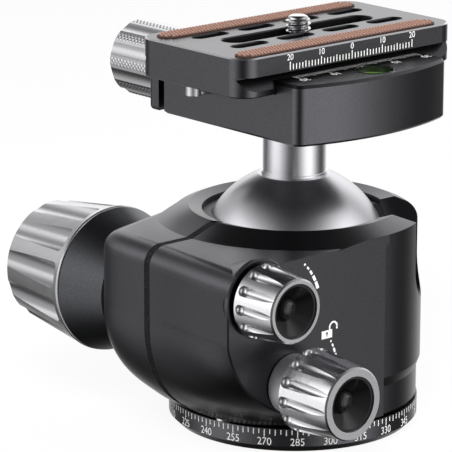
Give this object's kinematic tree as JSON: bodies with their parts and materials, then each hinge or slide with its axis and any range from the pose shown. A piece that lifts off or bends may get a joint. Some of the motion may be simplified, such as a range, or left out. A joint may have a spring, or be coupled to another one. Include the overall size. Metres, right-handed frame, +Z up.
{
  "type": "tripod ball head",
  "caption": "Camera ball head with panning base, side-lock knobs, drop notch, dovetail clamp with level and a slotted quick-release plate.",
  "frame": {"origin": "centre of the threaded hole in the base's underside", "axes": "+Z up along the panning axis, +X along the plate's long side, -Y the side with the two small knobs and the level"},
  "size_m": [0.0848, 0.1131, 0.1017],
  "materials": {
    "black_anodised": "satin bead-blasted black anodised aluminium",
    "dial_black": "satin black anodised, white laser-cut marks",
    "ball_grey": "satin dark hard-anodised",
    "satin_silver": "satin clear anodised aluminium",
    "bright_silver": "bright turned aluminium",
    "collar_grey": "satin dark grey anodised",
    "gloss_black": "gloss black",
    "steel": "turned steel",
    "brass": "turned brass",
    "polymer": "acetal liner",
    "dark_polymer": "dark acetal liner",
    "gasket": "ribbed black rubber",
    "strip_rubber": "brown ribbed rubber",
    "level_green": "clear acrylic vial with green fluid"
  },
  "bodies": {
    "base": {"pan_base": "dial_black", "base_thread_bushing": "brass", "pan_washer": "polymer", "retainer_washer": "polymer", "pan_retainer": "steel", "retainer_screw_1": "steel", "retainer_screw_2": "steel", "retainer_screw_3": "steel"},
    "body": {"housing": "black_anodised", "slit_gasket": "gasket", "ball_liner_front": "dark_polymer", "ball_liner_rear": "dark_polymer"},
    "brake_shoe": {"pan_brake_shoe": "brass"},
    "main_knob": {"main_knob_grip": "satin_silver", "main_knob_collar": "collar_grey", "main_spindle": "steel", "main_knob_cap": "black_anodised", "main_thrust_washer": "steel"},
    "friction_knob": {"friction_knob_grip": "bright_silver", "friction_knob_cup": "gloss_black", "friction_spindle": "steel"},
    "pan_lock_knob": {"pan_lock_grip": "bright_silver", "pan_lock_cup": "gloss_black", "pan_lock_spindle": "satin_silver"},
    "seat": {"ball_seat": "polymer"},
    "ball": {"ball": "ball_grey"},
    "clamp": {"stem": "satin_silver", "clamp_bolt": "steel", "clamp_body": "black_anodised", "stop_pin": "steel", "level_ring": "gloss_black", "level_vial": "level_green", "jaw_pin_1": "steel", "jaw_pin_2": "steel"},
    "jaw": {"clamp_jaw": "black_anodised"},
    "clamp_knob": {"clamp_knob": "satin_silver", "clamp_screw": "steel", "clamp_washer": "steel"},
    "plate": {"qr_plate": "black_anodised", "grip_strip_front": "strip_rubber", "grip_strip_rear": "strip_rubber", "stop_screw_left": "steel", "stop_screw_right": "steel"},
    "camera_screw": {"camera_screw": "steel"}
  },
  "joints": [
    {"name": "pan_turn", "type": "hinge", "parent": "base", "child": "body", "pos_m": [0, 0, 0.0127], "axis": [0, 0, 1], "continuous": true},
    {"name": "main_knob_turn", "type": "hinge", "parent": "body", "child": "main_knob", "pos_m": [-0.03, 0, 0.0335], "axis": [0, 1, 0], "range_deg": [0, 360]},
    {"name": "friction_knob_turn", "type": "hinge", "parent": "body", "child": "friction_knob", "pos_m": [-0.04, 0, 0.0443], "axis": [0, -1, 0], "range_deg": [-90, 360]},
    {"name": "pan_lock_turn", "type": "hinge", "parent": "body", "child": "pan_lock_knob", "pos_m": [-0.03, 0, 0.022], "axis": [0, -1, 0], "range_deg": [0, 360]},
    {"name": "brake_shoe_lift", "type": "slide", "parent": "body", "child": "brake_shoe", "axis": [0, 0, 1], "range_m": [0, 0.0003]},
    {"name": "side_lean", "type": "hinge", "parent": "body", "child": "seat", "pos_m": [0, 0, 0.0406], "axis": [0.6947, -0.7193, 0], "range_deg": [-25, 25]},
    {"name": "notch_drop", "type": "hinge", "parent": "seat", "child": "ball", "pos_m": [0, 0, 0.0406], "axis": [0.7193, 0.6947, 0], "range_deg": [-25, 90]},
    {"name": "ball_spin", "type": "hinge", "parent": "ball", "child": "clamp", "pos_m": [0, 0, 0.056], "axis": [0, 0, 1], "continuous": true},
    {"name": "jaw_slide", "type": "slide", "parent": "clamp", "child": "jaw", "axis": [0, 1, 0], "range_m": [0, 0.0024]},
    {"name": "clamp_knob_turn", "type": "hinge", "parent": "jaw", "child": "clamp_knob", "pos_m": [0, 0.0406, 0.0818], "axis": [0, 1, 0], "range_deg": [0, 1080]},
    {"name": "plate_slide", "type": "slide", "parent": "clamp", "child": "plate", "axis": [1, 0, 0], "range_m": [-0.0025, 0.0005]},
    {"name": "camera_screw_turn", "type": "hinge", "parent": "plate", "child": "camera_screw", "pos_m": [0, -0.001, 0.0902], "axis": [0, 0, 1], "continuous": true}
  ],
  "couplings": [
    {"joint": "pan_lock_turn", "follows": "brake_shoe_lift", "rad_per_m": 20944},
    {"joint": "clamp_knob_turn", "follows": "jaw_slide", "rad_per_m": 7854}
  ]
}
